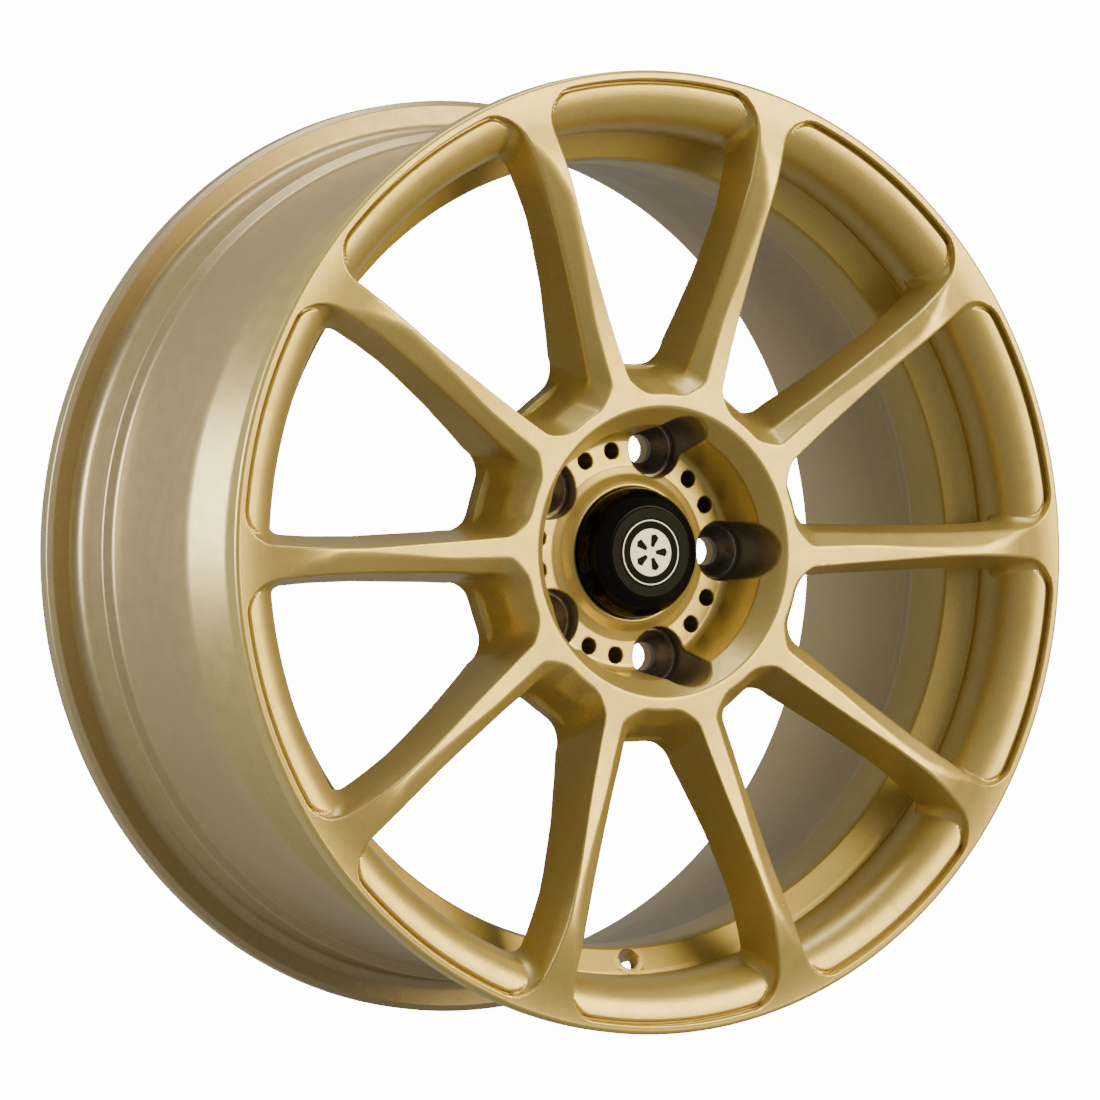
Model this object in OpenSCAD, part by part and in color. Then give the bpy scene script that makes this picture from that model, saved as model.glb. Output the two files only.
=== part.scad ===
// Forged 18 x 8 racing wheel with ten directional spokes, pressed lug seats
// and a pull-out centre cap.
// Row frame: origin at the wheel's centre, wheel axis along Y, outer face towards -Y, +Z up.
// Inside the modules the wheel is drawn lying on its back: axis along Z, outer face towards +Z.

/* [Rim] */
// Diameter over the tyre's bead seats
bead_seat_d = 462; // [400:1:540]
// Width between the two flanges
rim_w = 203.2; // [180:0.1:260]
// Height of a flange above the bead seat
flange_h = 17.5; // [15:0.5:21]
// Thickness of a flange along the axis
flange_t = 11.45; // [10:0.05:14]
// Width of a bead seat, from flange to hump
seat_w = 22; // [19:0.5:26]
// Depth of the drop centre below the bead seat
well_depth = 20; // [17:0.5:24]
// Flat width of the drop centre
well_w = 28; // [22:1:34]
// Wall thickness of the drop centre
well_wall = 5.8; // [5:0.1:7]
// Wall thickness of the long ledge behind the drop centre
ledge_wall = 4.6; // [4:0.1:5.5]
// Depth of the long ledge below the bead seat, at its rear end
ledge_drop = 5.5; // [5:0.1:7]
// Diameter of the valve hole
valve_d = 11.5; // [8:0.1:16]

/* [Face] */
// Width of the lip's bright edge outside the windows
lip_edge_w = 4; // [3:0.1:5]
// How far the spokes' crest stands in front of the lip
crest_rise = 10.1; // [8:0.1:12.5]
// Distance from the windows' outer edge in to the crest
crest_inset = 42.6; // [36:0.1:50]
// Width of the flat face at a spoke's narrow middle
spoke_face_w = 6.2; // [5:0.1:8]
// Width of the sloped facet along one side of every spoke
facet_w = 7.4; // [6:0.1:9]
// How much the side walls widen on each side towards the back
wall_draft = 5.4; // [4:0.1:6.5]
// Radius of the circle of the windows' inner ends
window_in_r = 83.6; // [80:0.1:92]
// Depth of the spokes behind their face, in the middle
spoke_depth = 28.8; // [24:0.1:34]

/* [Hub] */
// Offset: from the middle of the rim out to the mounting face
offset_et = 48; // [40:0.5:56]
// Bolt circle diameter
pcd = 114.3; // [105:0.1:120]
// Diameter of the wheel stud holes
stud_hole_d = 15; // [13:0.1:16.5]
// Diameter of the pockets for the lug nuts
lug_pocket_d = 30.7; // [28:0.1:32]
// Centre bore diameter
bore_d = 73.1; // [66:0.1:76]
// Radius of the hub bowl's outer edge
bowl_r = 70.9; // [68:0.1:76]
// Depth of the bowl's floor behind the lip
floor_depth = 37.4; // [34:0.1:40]
// Diameter of the small blind holes in the floor
pin_hole_d = 8.4; // [6:0.1:9]
// Depth of the small blind holes below the floor
pin_hole_depth = 12; // [6:0.5:14]

/* [Centre cap] */
// Diameter of the cap where it enters the hub
cap_d = 68.0; // [63:0.1:70]
// Clearance around the cap in its socket
cap_gap = 0.3; // [0.3:0.05:0.8]
// Diameter of the cap's flat top
cap_top_d = 47.5; // [42:0.5:52]
// Depth of the cap's top behind the lip
cap_top_depth = 14; // [11:0.5:18]
// Wall thickness of the cap
cap_wall = 2.2; // [1.8:0.1:2.8]
// Diameter of the badge
badge_d = 36; // [30:0.5:39]

/* [Hidden] */
SPOKES = 10;
LUGS = 5;
PITCH = 360 / SPOKES;
$fn = 180;

// Radii and widths of the rim
seat_r = bead_seat_d / 2;
rim_r = seat_r + flange_h;
all_w = rim_w + 2 * flange_t;
well_r = seat_r - well_depth;
well_in_r = well_r - well_wall;
lip_z = (all_w - crest_rise) / 2;
rear_z = lip_z - all_w;
mount_z = lip_z - all_w / 2 + offset_et;
floor_z = lip_z - floor_depth;

// Depths behind the lip of the front bead seat, the drop and the drop centre
seat_end = flange_t + seat_w;
drop_start = seat_end + 9;
drop_run = 13;
well_start = drop_start + drop_run;
well_end = well_start + well_w;
ramp_run = 24;
hump_h = 1.2;
seat_fall = 1.6;
heel_r = 6.5;
edge_r = 2;
flange_back_h = 7;
flange_back_r = 9;

// The rolled inner side of the lip, seen through the windows
roll_r = rim_r - lip_edge_w - 1.5;
roll_end_r = seat_r - 12;
roll_start = 2.5;
roll_end = seat_end - 0.45;
roll_steps = 9;
groove = 2;
groove_w = 6;
step_front = roll_end + groove_w + 2;
step_back = step_front + 6.6;
step_r = roll_end_r - 1;

// Radii along a spoke
window_out_r = rim_r - lip_edge_w;
crest_r = window_out_r - crest_inset;
flare_r = window_out_r - 16.5;
t_end_r = window_out_r - 5.6;
root_r = well_in_r + 1.8;
hub_r = window_in_r + 17.4;
facet_in_r = window_in_r + 7;
wall_in_r = window_in_r + 14.2;
neck_r = window_in_r + 28.4;
mid_r = (neck_r + crest_r) / 2;

// Depths behind the lip of a spoke's face, facet and back, by radius
bowl_edge_depth = 5;
FACE = [[bowl_r, bowl_edge_depth], [crest_r, -crest_rise], [t_end_r, 0], [window_out_r, 0]];
FACET = [
    [window_in_r, 15.5], [window_in_r + 8, 15], [neck_r, 4.8], [mid_r - 8, -0.6],
    [mid_r + 20, -3.6], [crest_r, -5], [flare_r + 2, -2.3], [window_out_r, 0.1]
];
BACK = [
    [window_in_r, 39], [neck_r, 0.6 + spoke_depth + 6], [mid_r - 8, spoke_depth - 4],
    [crest_r - 16, spoke_depth - 9.6], [crest_r, spoke_depth - 6], [root_r - 2, spoke_depth + 8]
];

// Distance from a spoke's centre line to the window's edge, by radius.
// The windward side carries the facet and the lee side a plain wall.
lee_mid = spoke_face_w - 0.3;
WIND_FACE = [
    [window_in_r, 5], [neck_r - 10, 3.2], [neck_r, 2.7], [mid_r - 8, 0.4],
    [mid_r + 17, -0.3], [crest_r, -0.3], [flare_r + 2, 8.9], [window_out_r, 11]
];
WIND_FACET = [
    [window_in_r, facet_w + 2.3], [neck_r, facet_w + 1.3], [mid_r, facet_w + 0.1],
    [crest_r, facet_w + 0.3], [flare_r + 2, 9.4], [window_out_r, 11.2]
];
WIND_BACK = [
    [window_in_r, facet_w + wall_draft + 2.4], [neck_r, facet_w + wall_draft + 1.2],
    [mid_r, facet_w + wall_draft - 0.5], [crest_r, facet_w + wall_draft - 0.5],
    [flare_r + 2, facet_w + wall_draft + 3], [window_out_r, facet_w + wall_draft + 5]
];
LEE_FACE = [
    [window_in_r, 10.4], [neck_r, 8.4], [mid_r - 8, 6.6], [mid_r + 17, lee_mid],
    [crest_r, lee_mid], [flare_r + 2, lee_mid + 1.6], [window_out_r, lee_mid + 2.6]
];
LEE_BACK = [
    [window_in_r, wall_draft + 9.6], [neck_r, wall_draft + 8.6], [mid_r - 8, wall_draft + 6.6],
    [crest_r, wall_draft + 6.4], [flare_r + 2, wall_draft + 8.9], [window_out_r, wall_draft + 11]
];
STATIONS = [
    neck_r - 6, neck_r + 8, mid_r - 8, mid_r + 17, crest_r, (crest_r + flare_r) / 2, flare_r
];

// Hub
bore_r = bore_d / 2;
cap_r = cap_d / 2;
socket_r = cap_r + cap_gap;
collar_r = socket_r + 6.6;
collar_h = 5.4;
collar_edge = 1;
floor_r = bowl_r - 9.9;
crease_r = bowl_r - 4.7;
crease_depth = 11.2;
pad_r = 76;
lug_r = pcd / 2;
pocket_r = lug_pocket_d / 2;
seat_mouth_r = 13;
seat_top_depth = floor_depth + 6.7;
seat_h = 12;
stud_r = stud_hole_d / 2;
seat_cone_h = (seat_mouth_r - stud_r) / tan(30);
pin_hole_r = lug_r - 3.35;
pin_hole_turn = 27;
relief_in_r = bore_r + 8;
relief_out_r = pad_r - 8;
relief_depth = 12;
relief_turn = 17;
socket_depth = floor_depth + 14;
clip_groove = 0.9;
clip_groove_w = 4;
clip_groove_top = floor_depth + 7;

// Valve hole, on the step of the drop centre, in the window below the hub
valve_turn = -90;
valve_seat_d = valve_d + 6;
valve_tilt = 24;

// Cap
cap_foot_depth = floor_depth - collar_h - 0.6;
cap_top_r = cap_top_d / 2;
leg_count = 8;
leg_w = 9;
leg_t = 2;
barb = 0.6;
leg_r = cap_r - barb;
leg_in_r = leg_r - leg_t;
leg_end_depth = clip_groove_top + clip_groove_w;
wire_d = 1.8;
wire_bite = 0.1;
badge_t = 0.8;
badge_rim = 0.8;
badge_rim_h = 0.4;

// Height of a point that lies at a depth behind the lip
function z_at(depth) = lip_z - depth;

function reverse(list) = [for (i = [len(list) - 1:-1:0]) list[i]];

// Points of an arc about a centre, from one angle to another
function arc(c, r, a0, a1, steps) =
    [for (i = [0:steps]) c + r * [cos(a0 + (a1 - a0) * i / steps), sin(a0 + (a1 - a0) * i / steps)]];

// The rolled inner side of the lip, from the lip inwards
function roll_points() = [
    for (i = [0:roll_steps])
        let (t = 90 * i / roll_steps)
        [roll_r - (roll_r - roll_end_r) * sin(t), z_at(roll_end - (roll_end - roll_start) * cos(t))]
];

// The front side of the rim that the spokes grow out of, from the lip to the drop centre
function inner_front_points() = concat(
    [[window_out_r, lip_z]],
    roll_points(),
    [
        [roll_end_r + groove, z_at(roll_end + 1)],
        [roll_end_r + groove, z_at(roll_end + groove_w + 1)],
        [step_r, z_at(step_front)],
        [root_r, z_at(step_back - 0.9)]
    ]
);

// Cross-section of the whole barrel
function barrel_points() = concat(
    arc([rim_r - edge_r, lip_z - edge_r], edge_r, 90, 0, 4),
    [[rim_r, z_at(flange_t - 3)], [rim_r - 2.5, z_at(flange_t)]],
    arc([seat_r + heel_r, z_at(flange_t + heel_r)], heel_r, 90, 180, 5),
    [
        [seat_r - seat_fall, z_at(seat_end)],
        [seat_r - seat_fall + hump_h, z_at(seat_end + 3)],
        [seat_r - seat_fall + hump_h, z_at(seat_end + 5)],
        [seat_r - seat_fall - 1, z_at(drop_start)],
        [well_r, z_at(well_start)],
        [well_r, z_at(well_end)],
        [seat_r - ledge_drop - 4, z_at(well_end + ramp_run)],
        [seat_r - ledge_drop, rear_z + seat_end + 8],
        [seat_r - seat_fall + hump_h, rear_z + seat_end + 4],
        [seat_r - seat_fall + hump_h, rear_z + seat_end + 2],
        [seat_r - seat_fall, rear_z + seat_end - 1]
    ],
    arc([seat_r + heel_r, rear_z + flange_t + heel_r], heel_r, 180, 270, 5),
    [[rim_r - 2.5, rear_z + flange_t], [rim_r, rear_z + flange_t - 3]],
    arc([rim_r - edge_r, rear_z + edge_r], edge_r, 0, -90, 4),
    arc([rim_r - flange_back_h - flange_back_r, rear_z + flange_back_r], flange_back_r, -60, -150, 4),
    [
        [seat_r - 6.3, rear_z + flange_t + 2],
        [seat_r - ledge_drop - ledge_wall, rear_z + seat_end + 10],
        [seat_r - ledge_drop - 4 - ledge_wall - 0.8, z_at(well_end + ramp_run - 5)],
        [well_in_r, z_at(well_end - 3)],
        [well_in_r, z_at(step_back + 1.6)],
        [well_in_r + 1.2, z_at(step_back - 0.6)]
    ],
    reverse(inner_front_points())
);

// Cross-section of the hub and spokes before the windows are cut, from radius r0 out
function disc_points(r0) = concat(
    [
        [r0, z_at(lookup(r0, BACK))],
        [r0, z_at(lookup(r0, FACE))],
        [crest_r, lip_z + crest_rise],
        [t_end_r, lip_z]
    ],
    inner_front_points(),
    [
        [root_r - 1.6, z_at(spoke_depth + 8)],
        [root_r - 6, z_at(spoke_depth - 2)],
        [crest_r - 4, z_at(lookup(crest_r - 4, BACK))],
        [crest_r - 16, z_at(lookup(crest_r - 16, BACK))],
        [mid_r - 8, z_at(lookup(mid_r - 8, BACK))],
        [neck_r, z_at(lookup(neck_r, BACK))]
    ]
);

// A point beside a spoke's centre line that stands at the angle turn
function beside(turn, r, side) = r * [cos(turn), sin(turn)] + side * [-sin(turn), cos(turn)];

// The corner between a spoke's side and the circle of radius r
function corner_at(turn, r, side) = beside(turn, sqrt(r * r - side * side), side);

// Rounded corner at b between the directions to a and c
function rounded(a, b, c, r, steps) =
    let (
        u = (a - b) / norm(a - b),
        v = (c - b) / norm(c - b),
        half = acos(u * v) / 2,
        centre = b + r / sin(half) * (u + v) / norm(u + v),
        from = b + r / tan(half) * u - centre,
        to = b + r / tan(half) * v - centre,
        sweep = 180 - 2 * half,
        turn = cross(from, to) > 0 ? 1 : -1
    )
    [for (i = [0:steps]) centre + rotated(from, turn * sweep * i / steps)];

function rotated(p, a) = [p.x * cos(a) - p.y * sin(a), p.x * sin(a) + p.y * cos(a)];

// Outline of one window, centred on +X, from its two side tables, end radii and corner radii
function window_outline(wind, lee, r_in, in_corner, out_corner_wind, out_corner_lee) =
    let (
        low = -PITCH / 2,
        high = PITCH / 2,
        out_r = window_out_r + 1.2,
        last = len(STATIONS) - 1,
        sides_low = [for (r = STATIONS) beside(low, r, lookup(r, wind))],
        sides_high = [for (r = reverse(STATIONS)) beside(high, r, -lookup(r, lee))],
        in_low = corner_at(low, r_in, lookup(r_in, wind)),
        in_high = corner_at(high, r_in, -lookup(r_in, lee)),
        out_low = corner_at(low, out_r, lookup(window_out_r, wind)),
        out_high = corner_at(high, out_r, -lookup(window_out_r, lee)),
        far = [for (a = [-9:3:9]) out_r * [cos(a), sin(a)]]
    )
    concat(
        rounded([r_in, 0], in_low, sides_low[0], in_corner, 5),
        sides_low,
        rounded(sides_low[last], out_low, far[0], out_corner_wind, 6),
        far,
        rounded(far[len(far) - 1], out_high, sides_high[0], out_corner_lee, 6),
        sides_high,
        rounded(sides_high[last], in_high, [r_in, 0], in_corner, 5),
        [[r_in, 0]]
    );

// The lee side's table part way down its wall
function lee_at(share) = [for (p = LEE_FACE) [p.x, p.y + share * (lookup(p.x, LEE_BACK) - p.y)]];

// A point past b on the line from a, at least 1 mm higher or lower
function past(a, b, share) =
    let (d = share * (b - a))
    b + [d.x, d.y, sign(d.z) * max(abs(d.z), 1)];

// One window as a closed cutter: straight up from the face, sloped facet, drafted wall,
// then straight back through
module window_cutter() {
    face_line = window_outline(WIND_FACE, LEE_FACE, window_in_r, 12, 14, 11);
    facet_line = window_outline(WIND_FACET, lee_at(0.3), facet_in_r, 11, 13.6, 10.6);
    back_line = window_outline(WIND_BACK, LEE_BACK, wall_in_r, 10, 11, 9);
    n = len(face_line);
    top = lip_z + 2 * crest_rise;
    bottom = z_at(70);
    face = [for (p = face_line) [p.x, p.y, z_at(lookup(norm(p), FACE))]];
    facet = [for (p = facet_line) [p.x, p.y, z_at(lookup(norm(p), FACET))]];
    back = [for (p = back_line) [p.x, p.y, z_at(min(lookup(norm(p), BACK), spoke_depth + 6))]];
    above = [for (i = [0:n - 1]) past(facet[i], face[i], 0.3)];
    below = [for (i = [0:n - 1]) past(facet[i], back[i], 0.3)];
    points = concat(
        [for (p = above) [p.x, p.y, top]],
        above,
        facet,
        below,
        [for (p = below) [p.x, p.y, bottom]]
    );
    levels = len(points) / n;
    sides = [
        for (k = [0:levels - 2], i = [0:n - 1])
            let (a = k * n + i, b = k * n + (i + 1) % n)
            each [[a, b, b + n], [a, b + n, a + n]]
    ];
    caps = [[for (i = [n - 1:-1:0]) i], [for (i = [0:n - 1]) (levels - 1) * n + i]];
    polyhedron(points, concat(sides, caps), convexity = 6);
}

module windows(from, to) {
    for (i = [from:to]) rotate([0, 0, (i + 0.5) * PITCH]) window_cutter();
}

// Everything is drawn lying on its back and stood up here
module upright() {
    rotate([90, 0, 0]) children();
}

module valve_hole() {
    rotate([0, 0, valve_turn])
        translate([(step_r + well_in_r) / 2, 0, z_at((step_front + step_back) / 2)])
        rotate([0, -valve_tilt, 0]) {
            translate([0, 0, -26]) cylinder(d = valve_d, h = 60);
            translate([0, 0, -0.8]) cylinder(d = valve_seat_d, h = 10);
        }
}

module rim_barrel() {
    color("#c8b27d") upright() difference() {
        rotate_extrude() polygon(barrel_points());
        valve_hole();
    }
}

// Cross-section of the hub: bowl, floor, collar, cap socket, centre bore and mounting face
module hub_section() {
    polygon([
        [hub_r, z_at(lookup(hub_r, FACE))],
        [bowl_r, z_at(bowl_edge_depth)],
        [crease_r, z_at(crease_depth)],
        [floor_r + 1.5, z_at(floor_depth - 3)],
        [floor_r, floor_z],
        [collar_r + 2, floor_z],
        [collar_r - 1, floor_z + 1],
        [socket_r + 2.6, floor_z + collar_h - 0.8],
        [socket_r + collar_edge, floor_z + collar_h],
        [socket_r, floor_z + collar_h - collar_edge],
        [socket_r, z_at(clip_groove_top)],
        [socket_r + clip_groove, z_at(clip_groove_top + clip_groove)],
        [socket_r + clip_groove, z_at(clip_groove_top + clip_groove_w)],
        [socket_r, z_at(clip_groove_top + clip_groove_w + clip_groove)],
        [socket_r, z_at(socket_depth)],
        [bore_r, z_at(socket_depth)],
        [bore_r, mount_z + 1],
        [bore_r + 1, mount_z],
        [pad_r, mount_z],
        [pad_r + 2, mount_z + 2],
        [window_in_r + 9, z_at(39)],
        [hub_r, z_at(lookup(hub_r, BACK))]
    ]);
}

module lug_hole() {
    translate([lug_r, 0, z_at(seat_top_depth + seat_h)]) cylinder(r = pocket_r, h = 100);
    translate([lug_r, 0, mount_z - 1]) cylinder(r = stud_r, h = 60);
}

// Pair of blind holes in the bowl's floor, between two lugs
module pin_holes() {
    for (side = [-1, 1])
        rotate([0, 0, side * (PITCH - pin_hole_turn)])
        translate([pin_hole_r, 0, floor_z - pin_hole_depth]) cylinder(d = pin_hole_d, h = 60);
}

// Lightening pocket in the mounting face between two lugs
module relief() {
    translate([0, 0, mount_z - 1]) rotate([0, 0, -relief_turn])
        rotate_extrude(angle = 2 * relief_turn)
        translate([relief_in_r, 0]) square([relief_out_r - relief_in_r, relief_depth + 1]);
}

module hub_centre() {
    color("#d6bf8c") upright() difference() {
        rotate_extrude() hub_section();
        windows(0, SPOKES - 1);
        for (i = [0:LUGS - 1]) {
            rotate([0, 0, i * 360 / LUGS]) lug_hole();
            rotate([0, 0, (i + 0.5) * 360 / LUGS]) {
                pin_holes();
                relief();
            }
        }
    }
}

module spoke(index) {
    color("#d2bb86") upright() difference() {
        rotate([0, 0, (index - 0.5) * PITCH])
            rotate_extrude(angle = PITCH) polygon(disc_points(hub_r));
        windows(index - 1, index);
    }
}

// Steel seat pressed into the hub, with the cone that the lug nut tightens against
module lug_seat(index) {
    color("#8a8076") upright() rotate([0, 0, index * 360 / LUGS]) translate([lug_r, 0, 0])
        rotate_extrude(convexity = 4) polygon([
            [stud_r, z_at(seat_top_depth + seat_h)],
            [pocket_r, z_at(seat_top_depth + seat_h)],
            [pocket_r, z_at(seat_top_depth)],
            [seat_mouth_r, z_at(seat_top_depth)],
            [stud_r, z_at(seat_top_depth + seat_cone_h)]
        ]);
}

// Deep moulded cap with a domed side, a flat top and a ring of spring legs below
module cap_shell() {
    top = z_at(cap_top_depth);
    foot = z_at(cap_foot_depth);
    shoulder_r = cap_top_r + 1.6;
    color("#1b1b1d") upright() {
        difference() {
            rotate_extrude() difference() {
                polygon(concat(
                    [[0, foot - 3], [cap_r, foot - 3], [cap_r, foot]],
                    [
                        for (t = [10:10:80])
                            [
                                shoulder_r + (cap_r - shoulder_r) * cos(t),
                                foot + (top - 1.6 - foot) * sin(t)
                            ]
                    ],
                    [[shoulder_r, top - 1.6], [shoulder_r - 1, top - 0.5], [cap_top_r, top], [0, top]]
                ));
                polygon([
                    [0, foot - 4], [cap_r - cap_wall, foot - 4], [cap_r - cap_wall, foot],
                    [shoulder_r - cap_wall, top - cap_wall - 3], [cap_top_r - 3, top - cap_wall],
                    [0, top - cap_wall]
                ]);
            }
            translate([0, 0, top - badge_t]) cylinder(d = badge_d, h = badge_t + 1);
        }
        for (i = [0:leg_count - 1]) rotate([0, 0, (i + 0.5) * 360 / leg_count]) cap_leg(foot);
    }
}

// One spring leg, with the barb that snaps into the hub's groove
module cap_leg(foot) {
    end = z_at(leg_end_depth);
    intersection() {
        rotate_extrude() polygon([
            [leg_in_r, foot - 3 + cap_wall], [leg_in_r, end], [leg_r, end],
            [leg_r + barb, end + 1.4], [leg_r, end + 2.8], [leg_r, foot - 3 + cap_wall]
        ]);
        translate([0, -leg_w / 2, end - 1]) cube([cap_r + 5, leg_w, foot - end + 1]);
    }
}

module cap_badge() {
    color("#c9c9cc") upright() translate([0, 0, z_at(cap_top_depth) - badge_t]) difference() {
        cylinder(d = badge_d, h = badge_t + badge_rim_h);
        translate([0, 0, badge_t]) cylinder(d = badge_d - 2 * badge_rim, h = 2);
    }
}

// Spring wire that pushes the cap's legs outwards from inside
module cap_retaining_ring() {
    color("#b9bcc0") upright() translate([0, 0, z_at(leg_end_depth - 4)])
        rotate([0, 0, 8]) rotate_extrude(angle = 344)
        translate([leg_in_r + wire_bite - wire_d / 2, 0]) circle(d = wire_d, $fn = 24);
}

rim_barrel();
hub_centre();
spoke(0);  // spoke_01
spoke(1);  // spoke_02
spoke(2);  // spoke_03
spoke(3);  // spoke_04
spoke(4);  // spoke_05
spoke(5);  // spoke_06
spoke(6);  // spoke_07
spoke(7);  // spoke_08
spoke(8);  // spoke_09
spoke(9);  // spoke_10
lug_seat(0);  // lug_seat_1
lug_seat(1);  // lug_seat_2
lug_seat(2);  // lug_seat_3
lug_seat(3);  // lug_seat_4
lug_seat(4);  // lug_seat_5
cap_shell();
cap_badge();
cap_retaining_ring();
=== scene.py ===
# A forged racing wheel, standing on its rim: a barrel with ten slim spokes and a deep hub
# bowl, five steel lug seats and a raised plastic centre cap. Metres in the row's frame;
# outlines are written in millimetres as radius and depth behind the outer lip.
import math

import bpy
import numpy as np
from mathutils import Matrix, Vector


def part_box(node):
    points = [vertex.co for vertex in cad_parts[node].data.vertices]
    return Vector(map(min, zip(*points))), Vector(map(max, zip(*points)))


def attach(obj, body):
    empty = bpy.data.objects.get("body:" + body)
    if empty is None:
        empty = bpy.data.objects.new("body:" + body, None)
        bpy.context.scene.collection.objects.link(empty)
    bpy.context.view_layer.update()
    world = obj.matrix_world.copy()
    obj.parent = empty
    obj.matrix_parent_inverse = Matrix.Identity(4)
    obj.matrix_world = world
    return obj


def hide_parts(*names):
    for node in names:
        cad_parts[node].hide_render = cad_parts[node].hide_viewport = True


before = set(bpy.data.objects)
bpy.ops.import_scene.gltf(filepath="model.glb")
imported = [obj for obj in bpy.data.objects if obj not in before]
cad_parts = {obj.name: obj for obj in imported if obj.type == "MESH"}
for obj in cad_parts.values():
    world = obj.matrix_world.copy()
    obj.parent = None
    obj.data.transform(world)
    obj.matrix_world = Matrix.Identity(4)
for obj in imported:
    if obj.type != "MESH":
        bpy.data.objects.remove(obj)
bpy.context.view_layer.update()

# ---------------------------------------------------------------------------------------
# Camera: a long lens a little more than three metres away, level with the wheel's centre
# and 30 degrees round to the left of its outer face.
barrel_low, barrel_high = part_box("rim_barrel")
rim_r = (barrel_high.x - barrel_low.x) / 2
lip_y = barrel_low.y
turn = math.radians(-30.246)
rise = math.radians(-0.4606)
roll = math.radians(-0.2263)
wheel_roll = math.radians(-1.04)

flat = math.cos(rise)
towards = Vector((-math.sin(turn) * flat, math.cos(turn) * flat, -math.sin(rise)))
level = towards.cross(Vector((0, 0, 1))).normalized()
upright = level.cross(towards)
cam_right = math.cos(roll) * level + math.sin(roll) * upright
cam_up = math.cos(roll) * upright - math.sin(roll) * level
spot = rim_r * (-0.238109 * cam_right + 0.00453 * cam_up - 12.66382 * towards)


def rolled(v):
    c = math.cos(wheel_roll)
    s = math.sin(wheel_roll)
    return Vector((v.x * c - v.z * s, v.y, v.x * s + v.z * c))


camera = bpy.data.objects.new("camera", bpy.data.cameras.new("camera"))
bpy.context.scene.collection.objects.link(camera)
camera.data.sensor_width = 36
camera.data.lens = 199.88
camera.data.clip_end = 60
camera_at = rolled(spot) + Vector((0, lip_y, 0))
basis = (rolled(cam_right), rolled(cam_up), rolled(-towards), camera_at)
camera.matrix_world = Matrix([[b[i] for b in basis] for i in range(3)] + [[0, 0, 0, 1]])
bpy.context.scene.camera = camera

# ---------------------------------------------------------------------------------------
# Gold coat: satin powder coat on forged and shot-blasted aluminium, metallic pigment under
# a thin clear coat. The eye gets soft broad highlights and a fine sparkle. Deep inside the
# barrel a browner tone is partly painted shade and partly a thinner coat.


def linear(hex_colour):
    parts = [int(hex_colour[i : i + 2], 16) / 255 for i in (1, 3, 5)]
    return [p / 12.92 if p <= 0.04045 else ((p + 0.055) / 1.055) ** 2.4 for p in parts] + [1]


def add(tree, kind, settings=(), **links):
    """One node: settings are its properties and socket values, links feed its inputs. An
    input that goes by its number is written _0, _1 and so on."""
    node = tree.nodes.new(kind)
    for key, value in dict(settings).items():
        if isinstance(key, str) and hasattr(node, key) and key != "inputs":
            setattr(node, key, value)
        else:
            node.inputs[key].default_value = value
    for key, source in links.items():
        socket = int(key[1:]) if key[1:].isdigit() else key.replace("_", " ")
        tree.links.new(source, node.inputs[socket])
    return node


def new_material(name, shader):
    """A material with one Principled shader; returns it, its tree and the shader."""
    material = bpy.data.materials.new(name)
    material.use_nodes = True
    tree = material.node_tree
    tree.nodes.clear()
    bsdf = add(tree, "ShaderNodeBsdfPrincipled", shader)
    add(tree, "ShaderNodeOutputMaterial", Surface=bsdf.outputs[0])
    return material, tree, bsdf


def grains(tree, size_mm, detail=2.0):
    """Noise on object coordinates whose grains are about size_mm across."""
    place = add(tree, "ShaderNodeTexCoord")
    settings = {"Scale": 1000 / size_mm, "Detail": detail}
    return add(tree, "ShaderNodeTexNoise", settings, Vector=place.outputs["Object"])


def ramp(tree, source, low, high, a, b):
    """Maps source from low..high to a..b."""
    return add(tree, "ShaderNodeMapRange", {1: low, 2: high, 3: a, 4: b}, Value=source).outputs[0]


gold, tree, bsdf = new_material(
    "gold_powder_coat_satin",
    {"Metallic": 0.64, "Roughness": 0.36, "Coat Weight": 0.1, "Coat Roughness": 0.15},
)
# Browner deep in the barrel, partly painted shade and partly a thinner coat: the row's Y grows from the outer
# lip to the vehicle's side.
place = add(tree, "ShaderNodeTexCoord")
apart = add(tree, "ShaderNodeSeparateXYZ", Vector=place.outputs["Object"])
deep = ramp(tree, apart.outputs[1], lip_y + 0.060, lip_y + 0.130, 0, 1)
drift = grains(tree, 60)
# The deep colour is partly painted shade, darker and browner further into the barrel.
face_to_shaded_deep = {"data_type": "RGBA", 6: linear("#C8B36A"), 7: linear("#AE9C72")}
tone = add(tree, "ShaderNodeMix", face_to_shaded_deep, _0=deep)
tenth_greyer = {"data_type": "RGBA", "blend_type": "MULTIPLY", 0: 0.10, 7: linear("#D8CDB4")}
cloudy = add(tree, "ShaderNodeMix", tenth_greyer, _6=tone.outputs[2])
cloud = ramp(tree, drift.outputs[0], 0.35, 0.65, 0, 1)
blend = add(tree, "ShaderNodeMix", {"data_type": "RGBA"}, _0=cloud, _6=tone.outputs[2], _7=cloudy.outputs[2])
# Metallic pigment: 0.5 mm flakes, coarser than real ones so that they show.
flake = grains(tree, 0.5, 0.0)
flake_share = ramp(tree, flake.outputs[0], 0.35, 0.75, 0, 0.35)
darker_flake = {"data_type": "RGBA", "blend_type": "MULTIPLY", 7: linear("#C9BB95")}
sparkle = add(tree, "ShaderNodeMix", darker_flake, _0=flake_share, _6=blend.outputs[2])
# Painted shade: pockets and holes turn brown-grey where they lie deep in shadow.
recess_shade_mask = add(tree, "ShaderNodeAttribute", {"attribute_name": "painted_recess_shade"})
shaded_brown = {"data_type": "RGBA", 7: linear("#82745B")}
coated = add(tree, "ShaderNodeMix", shaded_brown, _0=recess_shade_mask.outputs["Fac"], _6=sparkle.outputs[2])
tree.links.new(coated.outputs[2], bsdf.inputs["Base Color"])
tree.links.new(ramp(tree, grains(tree, 9).outputs[0], 0.3, 0.7, 0.33, 0.40), bsdf.inputs["Roughness"])
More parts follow.
